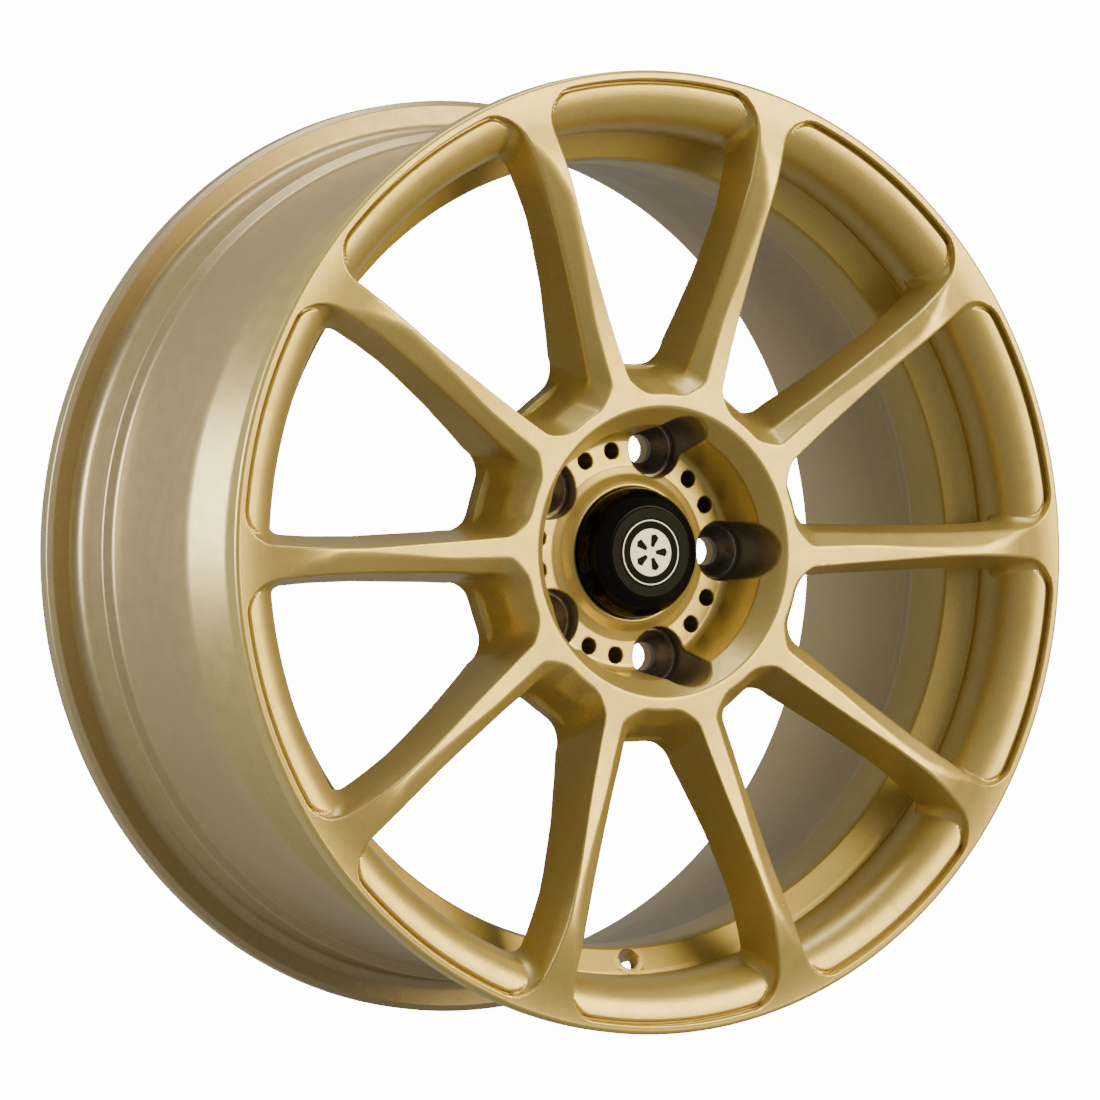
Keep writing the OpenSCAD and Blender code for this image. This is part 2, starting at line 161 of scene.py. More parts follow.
# Orange peel of the powder: 1.6 mm across and a few hundredths high.
peel_height = grains(tree, 1.6, 1.0).outputs[0]
peel = add(tree, "ShaderNodeBump", {"Strength": 0.10, "Distance": 0.00006}, Height=peel_height)
tree.links.new(peel.outputs[0], bsdf.inputs["Normal"])

# ---------------------------------------------------------------------------------------
# Forged centre: hub and spokes milled from one disc. Ten pockets leave the spokes, and a
# sloped facet follows one side of each spoke and the hub end of each pocket. The skin is
# the zero level of a distance in millimetres, built from those cuts.
spoke_at = [36 * i for i in range(10)]
pocket_r = 17.0
pocket_end_r = 243.6
hub_corner_r = 12.0
groove_w = 1.3
roll_power = 0.8
lip_slope = 0.273
back_slope = -0.1018
lug_circle_r = 57.15
lug_pocket_r = 15.35
lug_pocket_end = 56.1
stud_r = 7.6
small_hole_r = 4.2
small_hole_circle_r = 53.8
small_hole_depths = (28, 52)
socket_r = 34.3
bore_r = 36.55
hub_edge_r = 103


def side_of(u, y, u0, y0, u1, y1):
    """Distance from the line through two points; positive on its larger-u side."""
    du = u1 - u0
    dy = y1 - y0
    return ((u - u0) * dy - (y - y0) * du) / np.hypot(du, dy)


def joined(a, b, r):
    """Union whose inner corner is a fillet of radius r."""
    return np.maximum(np.minimum(a, b), r) - np.hypot(np.maximum(r - a, 0), np.maximum(r - b, 0))


def common(a, b, r):
    """Intersection whose outer edge is rounded to radius r."""
    return np.minimum(np.maximum(a, b), -r) + np.hypot(np.maximum(r + a, 0), np.maximum(r + b, 0))


def bent(a, b, width):
    """Intersection of two nearly parallel sides, bent smoothly where they differ by less
    than width."""
    return np.maximum(a, b) + np.maximum(width - np.abs(a - b), 0) ** 2 / (4 * width)


def outline(corners):
    """Closed outline from corners (radius, depth, rounding), with 6-piece arcs."""
    points = []
    for i, corner in enumerate(corners):
        b = np.array(corner[:2], float)
        r = corner[2] if len(corner) > 2 else 0
        if not r:
            points.append(b)
            continue
        a = np.array(corners[i - 1][:2], float)
        c = np.array(corners[(i + 1) % len(corners)][:2], float)
        u = (a - b) / np.linalg.norm(a - b)
        v = (c - b) / np.linalg.norm(c - b)
        half = math.acos(max(-1, min(1, float(u @ v)))) / 2
        middle = b + (u + v) / np.linalg.norm(u + v) * r / math.sin(half)
        start = b + u * r / math.tan(half) - middle
        end = b + v * r / math.tan(half) - middle
        sweep = math.atan2(start[0] * end[1] - start[1] * end[0], float(start @ end))
        for k in range(7):
            t = sweep * k / 6
            spin = np.array([[math.cos(t), -math.sin(t)], [math.sin(t), math.cos(t)]])
            points.append(middle + spin @ start)
    return np.array(points)


def inside_outline(r, y, points):
    """Signed distance to a closed outline, negative inside."""
    best = np.full(r.shape, 1e9)
    crossings = np.zeros(r.shape, bool)
    for a, b in zip(points, np.roll(points, -1, 0)):
        e = b - a
        if not e.any():
            continue
        wr = r - a[0]
        wy = y - a[1]
        t = np.clip((wr * e[0] + wy * e[1]) / (e @ e), 0, 1)
        best = np.minimum(best, (wr - t * e[0]) ** 2 + (wy - t * e[1]) ** 2)
        if e[1]:
            crosses = ((a[1] > y) != (b[1] > y)) & (r < (y - a[1]) * e[0] / e[1] + a[0])
            crossings ^= crosses
    return np.where(crossings, -1, 1) * np.sqrt(best)


# The barrel's outline behind its rolled lip: the inner side to the rear flange, then the
# outer side back over the bead seats, humps and drop centre.
rear_corners = [
    (219, 33, 0.4), (221.4, 35.2, 1.2), (221.6, 39.4, 1.2), (218, 41, 0.8), (206.5, 46.8, 1.6),
    (205.2, 50), (205.2, 79, 8), (215.4, 100, 10), (220.9, 182, 3), (224.7, 214.7, 3),
    (229, 222, 6), (237.5, 226.1, 3), (248.5, 226.1, 2.2), (248.5, 217, 1.5), (245.5, 214.65, 1.5),
    (231, 214.65, 6.5), (229.4, 193.5, 1), (230.6, 190.5, 2), (230.6, 187, 2), (225.5, 183, 4),
    (221.5, 108, 16), (211, 83, 10), (211, 56, 7), (228.2, 43.6, 3), (230.6, 40, 2), (230.6, 37, 2),
    (229.4, 33.5, 1), (231, 11.45, 6.5), (245.5, 11.45, 1.5), (248.5, 9, 1.5),
]


def barrel_shape(sunk):
    """The barrel's outline, with its rolled inner lip sunk by some millimetres."""
    t = np.radians(np.arange(3, 90, 3))
    roll_r = 243 + sunk - 24 * np.sin(t) ** roll_power
    roll_y = 33 - (30.5 - sunk) * np.cos(t) ** roll_power
    lip = [(248.5, 0, 2.2), (244.0, 0, 0.3), (243.5 + sunk / 4, 3.6 + sunk, 0.3)]
    return outline(lip + np.stack([roll_r, roll_y], 1).tolist() + rear_corners)


barrel_outline = barrel_shape(0)

collar_outline = outline([
    (socket_r, 60), (socket_r, 32.3, 0.4), (35.3, 31.9, 0.5), (37.2, 32.9, 1.5), (40.9, 35.8, 2.5),
    (46, 37.4, 2), (46, 60),
])
boss_outline = outline([
    (30, 30), (98, 30), (97.5, 38.5, 4), (88, 47, 6), (79, 62, 3), (76.5, 65.05, 1.2), (30, 65.05),
])
bowl_outline = outline([
    (-50, -60), (110, -60), (75.8, -1.2), (66.2, 11.2, 2.5), (61.2, 37.4, 4), (-50, 37.4),
])


def spoke_distance(x, v, y):
    """Distance to one spoke's sides and back; x runs along it and v across."""
    crest_face = np.interp(x, [40, 71, 202, 260], [8.6, 5.0, -9.4, -9.4])
    facet_in = np.interp(x, [84, 112, 124, 149, 174, 199, 250], [4.6, 2.7, 2.1, 0.4, -0.6, -0.6, -0.6])
    facet_out = np.interp(x, [84, 112, 124, 149, 174, 199, 224, 250], [10, 8.9, 8.2, 7.6, 7.3, 7.7, 9.4, 12])
    facet_y = np.interp(x, [84, 112, 149, 177, 202, 224, 250], [9.5, 5.4, 1.0, -2.4, -5.2, -4.3, -2.5])
    back_y = np.interp(x, [84, 98, 105, 112, 149, 186, 211, 235], [39, 38, 38, 36, 24.8, 19.2, 20.9, 25])
    wall = np.interp(x, [84, 112, 124, 149, 174, 199, 224, 250], [14.6, 13.9, 13.3, 12.7, 11.9, 12.3, 14, 16])
    lee_in = np.interp(x, [84, 112, 124, 149, 174, 199, 224, 250], [10.4, 8.4, 7.8, 6.6, 5.6, 5.6, 5.7, 7])
    facet = side_of(v, y, facet_in, crest_face, facet_out, facet_y)
    windward = side_of(v, y, facet_out, facet_y, wall, back_y)
    lee = side_of(-v, y, lee_in, crest_face, wall, back_y)
    sides = np.maximum(common(facet, windward, 1.2), lee)
    return common(sides, (y - back_y) / math.hypot(1, back_slope), 2.0)


def centre_distance(x, z, y, with_rim=True):
    """Distance to the forged centre; x and z across the wheel, y the depth."""
    r = np.hypot(x, z)
    angle = np.degrees(np.arctan2(z, x))
    fold = np.radians((angle + 18) % 36 - 18)
    bevel = side_of(r, y, 83.6, 3.05, 90.4, 13.0)
    wall = side_of(r, y, 90.4, 13.0, 98, 38)
    body = common(bevel, wall, 0.7)
    spokes = []
    for shift in (-36, 0, 36) if r.min() < 108 else (0,):
        a = fold + math.radians(shift)
        spokes.append(spoke_distance(r * np.cos(a), r * np.sin(a), y))
    body = np.minimum.reduce([joined(body, s, hub_corner_r) for s in spokes])
    back = np.interp(r, [84, 98, 112, 140], [39.5, 38, 36, 60])
    body = np.where(r < 112, common(body, (y - back) * 0.98, 2.0), body)
    if with_rim:
        rim = np.where(r > 185, inside_outline(r, y, barrel_outline), 50)
        pocket_wall = joined(body, pocket_end_r - r, pocket_r)
        roll = common(rim, groove_w - pocket_wall, 1.6)
        body = np.minimum.reduce([joined(body, rim + groove_w, 8.0), roll, np.maximum(pocket_wall, y - 10)])
    to_hub = np.interp(r, [20, 71, 260], [10.9, 5.0, -16.8]) - y
    to_lip = (r - 239) * lip_slope - y
    face = -bent(-bent(to_hub, to_lip, 6.0), y, 3.0)
    edge = np.interp(r, [140, 200, 226, 238], [0.6, 1.2, 1.2, 0.5])
    body = common(body, face * 0.985, edge)
    if r.min() < 100:
        body = joined(body, inside_outline(r, y, boss_outline), 3.0)
        body = common(body, -inside_outline(r, y, bowl_outline), 0.9)
        body = joined(body, inside_outline(r, y, collar_outline), 0.6)
        body = np.maximum(body, np.where(y < 51.4, socket_r, bore_r) - r)
        lug = np.radians((angle + 36) % 72 - 36)
        to_lug = np.hypot(r * np.cos(lug) - lug_circle_r, r * np.sin(lug))
        body = common(body, -np.maximum(to_lug - lug_pocket_r, y - lug_pocket_end), 0.9)
        body = np.maximum(body, stud_r - to_lug)
        middle = sum(small_hole_depths) / 2
        for where in (27, 45):
            a = np.radians((angle - where + 36) % 72 - 36)
            to_hole = np.hypot(r * np.cos(a) - small_hole_circle_r, r * np.sin(a))
            along = np.abs(y - middle) - (small_hole_depths[1] - middle)
            body = common(body, -np.maximum(to_hole - small_hole_r, along), 0.45)
        # Lightening pockets in the mounting face: 34 degrees wide, midway between the lugs.
        from_middle = np.abs(angle % 72 - 36)
        relief = np.maximum(np.abs(r - 56.3) - 11.7, (from_middle - 17) * math.radians(1) * 56)
        body = common(body, -np.maximum(relief, 53.05 - y), 1.0)
    return body


def skin(distance, r_axis, a_axis, y_axis):
    """Quads of the zero level of distance(x, z, y) on a grid of radius, angle and depth: one
    vertex in each cell that the surface crosses, one quad round each edge that it cuts."""
    rr, aa, yy = np.meshgrid(r_axis, a_axis, y_axis, indexing="ij")
    f = distance(rr * np.cos(aa), rr * np.sin(aa), yy)
    cells = tuple(n - 1 for n in f.shape)
    total = np.zeros(cells + (3,), np.float32)
    count = np.zeros(cells, np.float32)
    edges = []
    for axis in range(3):
        one, two = [k for k in range(3) if k != axis]
        lo = np.take(f, range(cells[axis]), axis)
        hi = np.take(f, range(1, cells[axis] + 1), axis)
        cut = (lo < 0) != (hi < 0)
        share = np.where(cut, lo / np.where(cut, lo - hi, 1), 0)
        edges.append(np.argwhere(cut))
        for p in (0, 1):
            for q in (0, 1):
                part = [slice(None)] * 3
                part[one] = slice(p, p + cells[one])
                part[two] = slice(q, q + cells[two])
                hit = cut[tuple(part)]
                total[..., axis] += share[tuple(part)]
                total[..., one] += hit * p
                total[..., two] += hit * q
                count += hit
    used = count > 0
    number = np.cumsum(used.ravel()).reshape(cells) - 1
    at = np.argwhere(used) + total[used] / count[used][:, None]
    axes = (r_axis, a_axis, y_axis)
    r, a, y = [np.interp(at[:, k], np.arange(len(x)), x) for k, x in enumerate(axes)]
    quads = []
    for axis, where in enumerate(edges):
        one, two = [k for k in range(3) if k != axis]
        for k in (one, two):
            where = where[(where[:, k] > 0) & (where[:, k] < cells[k])]
        ring = []
        for p, q in ((1, 1), (0, 1), (0, 0), (1, 0)):
            cell = where.copy()
            cell[:, one] -= p
            cell[:, two] -= q
            ring.append(number[tuple(cell.T)])
        quads.append(np.stack(ring, 1))
    return np.stack([r * np.cos(a), r * np.sin(a), y], 1), np.concatenate(quads)


def slopes(distance, p, step):
    """Gradient of distance at points p (x, z, depth)."""
    parts = []
    for k in range(3):
        d = np.zeros(3)
        d[k] = step
        parts.append((distance(*(p + d).T) - distance(*(p - d).T)) / (2 * step))
    return np.stack(parts, 1)


def outward(distance, p):
    """Unit directions out of the surface, smoothed over 0.35 mm either way."""
    g = slopes(distance, p, 0.35)
    return g / np.maximum(np.linalg.norm(g, axis=1), 1e-9)[:, None]


def settled(distance, p, rounds=3):
    """Moves points onto the zero level, and gives the outward directions there."""
    for _ in range(rounds):
        g = slopes(distance, p, 0.02)
        move = distance(*p.T) / np.maximum((g * g).sum(1), 0.25)
        p = p - g * np.clip(move, -0.5, 0.5)[:, None]
    return p, outward(distance, p)


def facing_out(p, out, quads):
    """The quads, each turned so that its front faces along out in the row's frame, whose
    axes run in another order than x, z, depth."""
    a, b, c, d = [p[quads[:, k]] for k in range(4)]
    normal = np.cross(c - a, d - b)
    wrong = (normal * out[quads].sum(1)).sum(1) > 0
    quads[wrong] = quads[wrong][:, ::-1]
    return quads


def swung(p, degrees=0):
    """Vectors (x, z, depth) turned round the axle, in the order of the row's axes."""
    c = math.cos(math.radians(degrees))
    s = math.sin(math.radians(degrees))
    return np.stack([p[:, 0] * c - p[:, 1] * s, p[:, 2], p[:, 0] * s + p[:, 1] * c], 1)


def placed(p, degrees=0):
    """Points (x, z, depth behind the lip) in millimetres, to metres in the row's frame."""
    return swung(p, degrees) / 1000 + np.array([0, lip_y, 0])


def plain(name, points, faces, material, smooth=True):
    """A mesh object at the origin, before it is finished."""
    mesh = bpy.data.meshes.new(name)
    mesh.from_pydata(points, [], faces)
    mesh.polygons.foreach_set("use_smooth", [smooth] * len(mesh.polygons))
    mesh.materials.append(material)
    made = bpy.data.objects.new(name, mesh)
    bpy.context.scene.collection.objects.link(made)
    return made


def forged(name, points, faces, out, node):
    """A gold piece of the forging, shaded by its own outward directions."""
    made = plain(name, points, faces, gold)
    made.data.normals_split_custom_set_from_vertices(out)
    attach(made, "wheel")
    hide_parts(node)
    return made


def spoke_piece(x, z, y):
    """One spoke with its roots and its stretch of the rolled lip. It runs a little way into
    the hub and the barrel, and its sides dip under the neighbouring stretches."""
    r = np.hypot(x, z)
    body = centre_distance(x, z, y)
    middle = np.interp(y, [0, 3, 8, 12, 33, 41, 48, 52], [246.0, 244.8, 236, 229, 224.5, 223, 212, 207])
    aside = np.abs(np.arctan2(z, x))
    on_roll = np.clip((r - 212) / 14, 0, 1) * np.clip((35 - y) / 4, 0, 1)
    sunk = np.interp(r, [180, 205], [0.01, 0.03]) - 0.045 * on_roll
    sunk = sunk + np.interp(np.degrees(aside), [17.2, 18.6], [0, 0.12])
    body = np.maximum(body + sunk, r - middle)
    along_rim = np.where(y < 33.5, (aside - math.radians(19.3)) * r, np.abs(z) - 24.5)
    return np.maximum.reduce([body, 100.4 - r, y - 51, along_rim])


coarse = 1.0
near = np.arange(-12.6, 12.6, 0.27 * coarse)
spread = np.concatenate([np.arange(-20, -12.7, 0.7), near, np.arange(near[-1] + 0.5, 20.1, 0.7)])
p, quads = skin(
    spoke_piece,
    np.arange(99.3, 248, 0.9 * coarse),
    np.radians(spread),
    np.arange(-11.6, 52.5, 0.8 * coarse),
)
p, out = settled(spoke_piece, p)
quads = facing_out(p, out, quads)
for number, degrees in enumerate(spoke_at, 1):
    name = f"spoke_{number:02d}"
    forged(name + "_forged", placed(p, degrees), quads, swung(out, degrees), name)


def hub_whole(x, z, y):
    """The hub out to just past where the spokes start."""
    return np.maximum(centre_distance(x, z, y, False), np.hypot(x, z) - hub_edge_r)


def hub_fifth(x, z, y):
    """The hub round one lug. Its sides dip under the neighbouring fifths, so no seam shows."""
    aside = np.abs(np.arctan2(z, x))
    dip = np.interp(np.degrees(aside), [35.4, 37.0], [0, 0.12])
    return np.maximum(hub_whole(x, z, y) + dip, (aside - math.radians(37.4)) * np.hypot(x, z))


p, quads = skin(
    hub_fifth,
    np.arange(32.5, 104.5, 1.0 * coarse),
    np.radians(np.arange(-38.25, 38.3, 0.75 * coarse)),
    np.arange(-0.6, 67, 0.95 * coarse),
)
p, out = settled(hub_fifth, p)
quads = facing_out(p, out, quads)
# The skin keeps the whole hub's shading up to the hidden seam faces.
on_skin = np.abs(hub_whole(*p.T)) < 0.2
out = np.where(on_skin[:, None], outward(hub_whole, p), out)
# Painted shade: strong on the lug pockets' walls, growing with depth, and stronger still in the small holes.
to_lug = np.hypot(p[:, 0] - lug_circle_r, p[:, 1])
in_pocket = np.clip(1 - (to_lug - 15.4) / 0.5, 0, 1) * np.clip((p[:, 2] - 5) / 20, 0.45, 0.9)
in_hole = 0.95 * ((p[:, 2] > 38.4) & (p[:, 2] < 56) & (np.hypot(p[:, 0], p[:, 1]) < 60))
recess_shade = np.maximum(in_pocket, in_hole) * (p[:, 2] < 57)
for number in range(1, 6):
    degrees = 72 * (number - 1)
    made = forged(f"hub_forged_{number}", placed(p, degrees), quads, swung(out, degrees), "hub_centre")
    # The painted shade of the pockets and holes goes to the gold material as a point attribute.
    coat = made.data.attributes.new("painted_recess_shade", "FLOAT", "POINT")
    coat.data.foreach_set("value", recess_shade.astype(np.float32))

# ---------------------------------------------------------------------------------------
# Barrel: flow-formed from the same forging, both flanges, bead seats, drop centre and the
# rolled lip in one turned shape. The valve hole is drilled square to the sloping step in
# the window below the hub.
barrel_parts = 360
roll_under_skin = 2.0
valve_r = 5.75
valve_flat_r = 8.7
valve_at = (211.6, 44.3)
valve_tilt = math.radians(24)


def lathed(points, parts, centre=(0, 0)):
    """Vertices and faces of a closed outline turned round an axis parallel to the axle."""
    n = len(points)
    a = 2 * math.pi * np.arange(parts) / parts
    x = np.outer(np.cos(a), points[:, 0]) + centre[0]
    z = np.outer(np.sin(a), points[:, 0]) + centre[1]
    y = np.outer(np.ones(parts), points[:, 1])
    i, j = [g.ravel() for g in np.meshgrid(np.arange(parts), np.arange(n), indexing="ij")]
    i2 = (i + 1) % parts
    j2 = (j + 1) % n
    quads = np.stack([i * n + j, i2 * n + j, i2 * n + j2, i * n + j2], 1)
    following = np.roll(points, -1, 0)
    clockwise = np.sum(points[:, 0] * following[:, 1] - following[:, 0] * points[:, 1]) < 0
    return placed(np.stack([x, z, y], -1).reshape(-1, 3)), quads[:, ::-1] if clockwise else quads


def finished(made, *modifiers):
    """Applies modifiers, given as (type, settings), and leaves a plain mesh."""
    for kind, settings in modifiers:
        m = made.modifiers.new(kind, kind)
        for key, value in settings.items():
            setattr(m, key, value)
    graph = bpy.context.evaluated_depsgraph_get()
    mesh = bpy.data.meshes.new_from_object(made.evaluated_get(graph))
    made.modifiers.clear()
    made.data = mesh
    return made


def rod(name, r, a, b):
    """A plain round cutter from point a to point b, in the row's frame."""
    axis = (b - a).normalized()
    across = axis.cross(Vector((1, 0, 0))).normalized()
    other = axis.cross(across)
    n = 64
    turns = [2 * math.pi * k / n for k in range(n)]
    ring = [r * (across * math.cos(t) + other * math.sin(t)) for t in turns]
    points = [a + v for v in ring] + [b + v for v in ring]
    faces = [[k, (k + 1) % n, n + (k + 1) % n, n + k] for k in range(n)]
    faces += [list(range(n))[::-1], list(range(n, 2 * n))]
    return plain(name, points, faces, gold, smooth=False)


barrel = plain("barrel_flow_formed", *lathed(barrel_shape(roll_under_skin), barrel_parts), gold)
valve_out = Vector((0, -math.cos(valve_tilt), math.sin(valve_tilt)))
valve_spot = Vector((0, lip_y + valve_at[1] / 1000, -valve_at[0] / 1000))
drill = rod("valve_drill", valve_r / 1000, valve_spot - valve_out * 0.03, valve_spot + valve_out * 0.03)
flat_from = valve_spot + valve_out * 0.0001
spot_face = rod("valve_spot_face", valve_flat_r / 1000, flat_from, valve_spot + valve_out * 0.012)
for cutter in (drill, spot_face):
    finished(barrel, ("BOOLEAN", {"operation": "DIFFERENCE", "object": cutter, "solver": "EXACT"}))
    bpy.data.objects.remove(cutter)
finished(barrel, ("WEIGHTED_NORMAL", {"keep_sharp": False, "weight": 100}))
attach(barrel, "wheel")
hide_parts("rim_barrel")

# ---------------------------------------------------------------------------------------
# Lug seats: turned steel inserts pressed into the pockets, each with the 60 degree cone
# that the lug nut tightens against. Bare steel, dull grey-brown, with fine turning marks.
seat_count = 5

steel, tree, bsdf = new_material(
    "steel_turned_dull", {"Metallic": 0.85, "Roughness": 0.42, "Base Color": linear("#8C8178")}
)
patches = ramp(tree, grains(tree, 6).outputs[0], 0.3, 0.7, 0, 1)
clean_to_stained = {"data_type": "RGBA", 6: linear("#938A82"), 7: linear("#6E645C")}
stain = add(tree, "ShaderNodeMix", clean_to_stained, _0=patches)
tree.links.new(stain.outputs[2], bsdf.inputs["Base Color"])
# Turning marks 0.6 mm apart along the axle; the wave texture has 20 bands to a unit.
place = add(tree, "ShaderNodeTexCoord")
turning_marks = {"bands_direction": "Y", "Scale": 1000 / 0.6 / 20, "Distortion": 0.6}
lines = add(tree, "ShaderNodeTexWave", turning_marks, Vector=place.outputs["Object"])
marks = add(tree, "ShaderNodeBump", {"Strength": 0.25, "Distance": 0.00004}, Height=lines.outputs[0])
tree.links.new(marks.outputs[0], bsdf.inputs["Normal"])

seat_outline = outline([
    (7.5, lug_pocket_end), (7.5, 53.4, 0.5), (12.9, 44.6, 0.5), (13.7, 44.1, 0.3), (15.3, 44.1, 0.2),
    (15.3, lug_pocket_end),
])


def ring_of_copies(name, material):
    """A node tree that turns copies of its mesh evenly round the axle."""
    group = bpy.data.node_groups.new(name, "GeometryNodeTree")
    sockets = group.interface
    sockets.new_socket("Geometry", in_out="INPUT", socket_type="NodeSocketGeometry")
    sockets.new_socket("Count", in_out="INPUT", socket_type="NodeSocketInt")
    sockets.new_socket("Angle between", in_out="INPUT", socket_type="NodeSocketFloat")
    sockets.new_socket("Geometry", in_out="OUTPUT", socket_type="NodeSocketGeometry")
    source = add(group, "NodeGroupInput")
    spots = add(group, "GeometryNodePoints", Count=source.outputs["Count"])
    index = add(group, "GeometryNodeInputIndex")
    step = source.outputs["Angle between"]
    turn_by = add(group, "ShaderNodeMath", {"operation": "MULTIPLY"}, _0=index.outputs[0], _1=step)
    turning = add(group, "ShaderNodeCombineXYZ", Y=turn_by.outputs[0])
    copies = add(
        group, "GeometryNodeInstanceOnPoints",
        Points=spots.outputs[0], Instance=source.outputs["Geometry"], Rotation=turning.outputs[0],
    )
    real = add(group, "GeometryNodeRealizeInstances", Geometry=copies.outputs[0])
    coat = add(group, "GeometryNodeSetMaterial", {"Material": material}, Geometry=real.outputs[0])
    add(group, "NodeGroupOutput", Geometry=coat.outputs[0])
    return group


def copied_round(made, name, count, material):
    """Repeats a piece evenly round the axle and keeps the result as its plain mesh."""
    group = ring_of_copies(name, material)
    m = made.modifiers.new(name, "NODES")
    m.node_group = group
    wanted = {"Count": count, "Angle between": 2 * math.pi / count}
    for item in group.interface.items_tree:
        if item.in_out == "INPUT" and item.name in wanted:
            m[item.identifier] = wanted[item.name]
    return finished(made)


seats = plain("lug_seats_steel", *lathed(seat_outline, 96, (lug_circle_r, 0)), steel)
copied_round(seats, "seats round the hub", seat_count, steel)
finished(seats, ("WEIGHTED_NORMAL", {"weight": 100}))
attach(seats, "wheel")
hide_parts(*[f"lug_seat_{i}" for i in range(1, seat_count + 1)])

# ---------------------------------------------------------------------------------------
# Centre cap: a deep pot moulded in black ABS, polished on its domed side and grained on
# its flat top, with eight spring legs behind that snap into the hub.
cap_legs = 8
flat_top_r = 23.6
leg_w = 9
leg_middle_r = 32.4

black, tree, bsdf = new_material(
    "abs_moulded_black_gloss",
    {"Specular IOR Level": 0.1, "Coat Weight": 0.01, "Coat Roughness": 0.08},
)
place = add(tree, "ShaderNodeTexCoord")
apart = add(tree, "ShaderNodeSeparateXYZ", Vector=place.outputs["Object"])
across = add(tree, "ShaderNodeCombineXYZ", X=apart.outputs[0], Z=apart.outputs[2])
from_axle = add(tree, "ShaderNodeVectorMath", {"operation": "LENGTH"}, _0=across.outputs[0])
top_end = flat_top_r / 1000
on_top = ramp(tree, from_axle.outputs["Value"], top_end, top_end + 0.0004, 1, 0)
# Leather grain of the flat top: cells 0.9 mm across.
cells = add(tree, "ShaderNodeTexVoronoi", {"Scale": 1000 / 0.9}, Vector=place.outputs["Object"])
grained = add(tree, "ShaderNodeMath", {"operation": "MULTIPLY"}, _0=cells.outputs[0], _1=on_top)
leather = add(tree, "ShaderNodeBump", {"Strength": 0.5, "Distance": 0.00012}, Height=grained.outputs[0])
tree.links.new(leather.outputs[0], bsdf.inputs["Normal"])
tree.links.new(ramp(tree, on_top, 0, 1, 0.18, 0.55), bsdf.inputs["Roughness"])
side_and_top = {"data_type": "RGBA", 6: linear("#0A0A0B"), 7: linear("#0D0D0E")}
shade = add(tree, "ShaderNodeMix", side_and_top, _0=on_top)
tree.links.new(shade.outputs[2], bsdf.inputs["Base Color"])

dome = [(25.4 + 8.6 * math.sin(t), 31.2 - 15.0 * math.cos(t)) for t in np.radians(np.arange(12, 90, 6))]
cap_outline = outline(
    [(0.05, 14.2), (18.2, 14.2), (23.0, 14.2, 0.3), (23.5, 14.8, 0.3), (24.2, 14.9, 0.3), (25.0, 15.4, 0.5)]
    + dome
    + [(34.0, 31.4, 0.2), (34.0, 34.4, 0.2), (31.8, 34.4, 0.2), (31.4, 31.0), (23.4, 19.4, 2), (0.05, 16.4)]
)
cap = plain("centre_cap_moulded", *lathed(cap_outline, 180), black)
finished(cap, ("WEIGHTED_NORMAL", {"weight": 100}))
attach(cap, "centre_cap")
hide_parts("cap_shell")

# One leg, with its barb: the outline (radius, depth) swept over the leg's width.
leg_corners = [(31.4, 32.2), (31.4, 48.4), (33.4, 48.4), (34.0, 47.0), (33.4, 45.6), (33.4, 32.2)]
corners = len(leg_corners)
leg_rows = 8
leg_points = []
for k in range(leg_rows + 1):
    a = (k / leg_rows - 0.5) * leg_w / leg_middle_r
    leg_points += [(r * math.cos(a), r * math.sin(a), y) for r, y in leg_corners]
leg_faces = []
for k in range(leg_rows):
    for j in range(corners):
        a = k * corners + j
        b = k * corners + (j + 1) % corners
        leg_faces.append([a, b, b + corners, a + corners])
leg_faces += [list(range(corners))[::-1], [leg_rows * corners + j for j in range(corners)]]
legs = plain("centre_cap_legs", placed(np.array(leg_points)), leg_faces, black, smooth=False)
copied_round(legs, "legs under the cap", cap_legs, black)
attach(legs, "centre_cap")

wire_steel, tree, bsdf = new_material(
    "spring_steel_drawn", {"Metallic": 1.0, "Roughness": 0.3, "Base Color": linear("#B4B7BA")}
)
drawn = grains(tree, 0.4).outputs[0]
die_marks = add(tree, "ShaderNodeBump", {"Strength": 0.2, "Distance": 0.00002}, Height=drawn)
tree.links.new(die_marks.outputs[0], bsdf.inputs["Normal"])
wire_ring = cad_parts["cap_retaining_ring"]
wire_ring.data.materials.clear()
wire_ring.data.materials.append(wire_steel)

# ---------------------------------------------------------------------------------------
# Badge: printed foil disc on the cap's top. A thin silver ring round a silver disc that
# carries a plain dark rosette of five petals.
badge_y = 13.9
badge_r = 18.0
foil_back = 14.4
petals = 5

silver, tree, bsdf = new_material(
    "foil_printed_silver", {"Metallic": 0.55, "Roughness": 0.42, "Base Color": linear("#C9C9CC")}
)
speckled = ramp(tree, grains(tree, 0.35, 1.0).outputs[0], 0.35, 0.65, 0, 1)
light_to_dark = {"data_type": "RGBA", 6: linear("#D6D6D9"), 7: linear("#A9A9AD")}
speck = add(tree, "ShaderNodeMix", light_to_dark, _0=speckled)
tree.links.new(speck.outputs[2], bsdf.inputs["Base Color"])
ink, tree, bsdf = new_material(
    "ink_printed_black", {"Roughness": 0.55, "Specular IOR Level": 0.08, "Base Color": linear("#060607")}
)
ink_grain = grains(tree, 0.9).outputs[0]
uneven = add(tree, "ShaderNodeBump", {"Strength": 0.4, "Distance": 0.0001}, Height=ink_grain)
tree.links.new(uneven.outputs[0], bsdf.inputs["Normal"])


def washer(r0, r1, y0, y1):
    """Points and faces of a flat ring."""
    return lathed(np.array([(r0, y0), (r1, y0), (r1, y1), (r0, y1)]), 144)


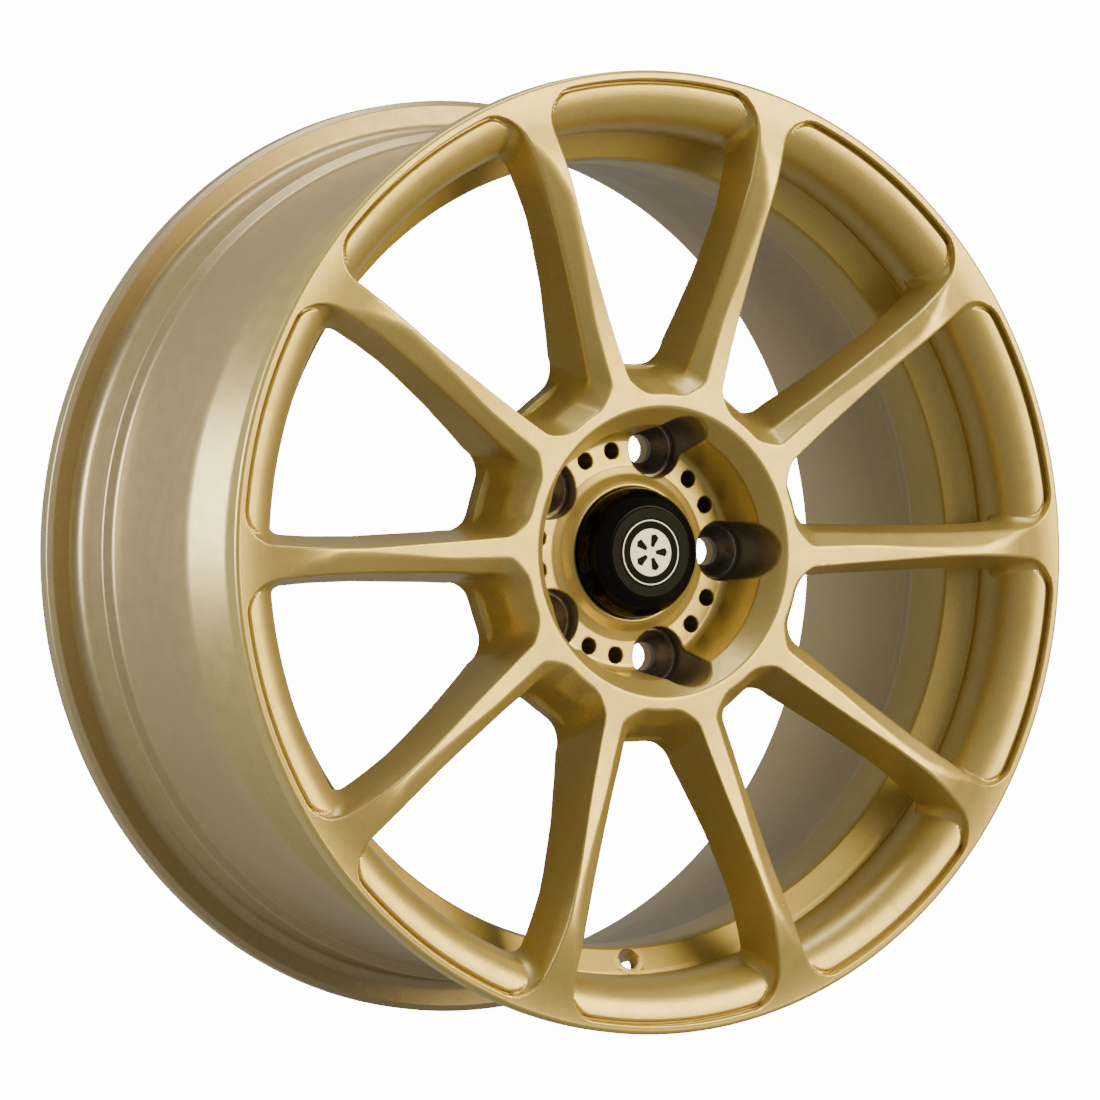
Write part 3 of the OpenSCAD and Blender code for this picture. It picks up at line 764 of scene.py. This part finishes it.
backing = plain("badge_backing", *washer(0.05, badge_r, 14.0, 15.0), ink, smooth=False)
ring_points, ring_faces = washer(16.3, 16.9, badge_y, foil_back)
disc_points, disc_faces = washer(0.05, 12.3, badge_y, foil_back)
foil_points = np.concatenate([ring_points, disc_points])
foil_faces = np.concatenate([ring_faces, disc_faces + len(ring_points)])
foil = plain("badge_foil", foil_points, foil_faces, silver, smooth=False)
petal = [(3.0, -0.9), (8.6, -2.3), (9.9, 0.0), (8.6, 2.3), (3.0, 0.9)]
petal_points = [(x, z, y) for y in (badge_y - 0.08, foil_back - 0.1) for x, z in petal]
petal_faces = [[0, 1, 2, 3, 4], [9, 8, 7, 6, 5]]
petal_faces += [[j, j + 5, (j + 1) % 5 + 5, (j + 1) % 5] for j in range(5)]
rosette = plain("badge_rosette", placed(np.array(petal_points)), petal_faces, ink, smooth=False)
copied_round(rosette, "petals round the badge", petals, ink)
for made in (backing, foil, rosette):
    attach(made, "centre_cap")
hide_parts("cap_badge")

# ---------------------------------------------------------------------------------------
# Studio: a white floor that curves up into a backdrop, and large soft lights.
floor_z = barrel_low.z
white = linear("#FFFFFF")
paper, tree, bsdf = new_material(
    "paper_backdrop_white",
    {"Base Color": white, "Roughness": 0.9, "Emission Color": white, "Emission Strength": 14.0},
)
curve_r = 2.0
curve_from = 2.5
sweep = [(-9.0, 0.0), (curve_from, 0.0)]
for t in np.radians(range(10, 91, 10)):
    sweep.append((curve_from + curve_r * math.sin(t), curve_r - curve_r * math.cos(t)))
sweep.append((curve_from + curve_r, 8.0))
points = [(x, y, floor_z + z) for y, z in sweep for x in (-12.0, 12.0)]
faces = [[k, k + 1, k + 3, k + 2] for k in range(0, 2 * len(sweep) - 2, 2)]
backdrop = plain("backdrop", points, faces, paper)
# The sweep is bright to the camera only, so the wheel keeps its dark reflections.
backdrop.visible_diffuse = False
backdrop.visible_glossy = False


def soft_light(name, spot, size, power, tint="#FFFFFF"):
    """A square-edged soft box that faces the wheel's centre."""
    lamp = bpy.data.lights.new(name, "AREA")
    lamp.shape = "RECTANGLE"
    lamp.size = size[0]
    lamp.size_y = size[1]
    lamp.energy = power
    lamp.color = linear(tint)[:3]
    made = bpy.data.objects.new(name, lamp)
    made.location = spot
    made.rotation_mode = "QUATERNION"
    made.rotation_quaternion = (-Vector(spot)).to_track_quat("-Z", "Y")
    bpy.context.scene.collection.objects.link(made)


soft_light("key_right", (2.1, -3.2, 1.0), (2.2, 2.4), 212, "#FFEAB0")
soft_light("side_left", (-3.3, 0.4, 0.8), (1.2, 1.8), 165)
soft_light("top", (0.0, -0.3, 2.6), (1.8, 1.2), 45)
world = bpy.data.worlds.new("studio")
bpy.context.scene.world = world
world.use_nodes = True
sky = world.node_tree.nodes["Background"]
sky.inputs["Color"].default_value = (1, 1, 1, 1)
sky.inputs["Strength"].default_value = 0.34

bpy.context.view_layer.update()
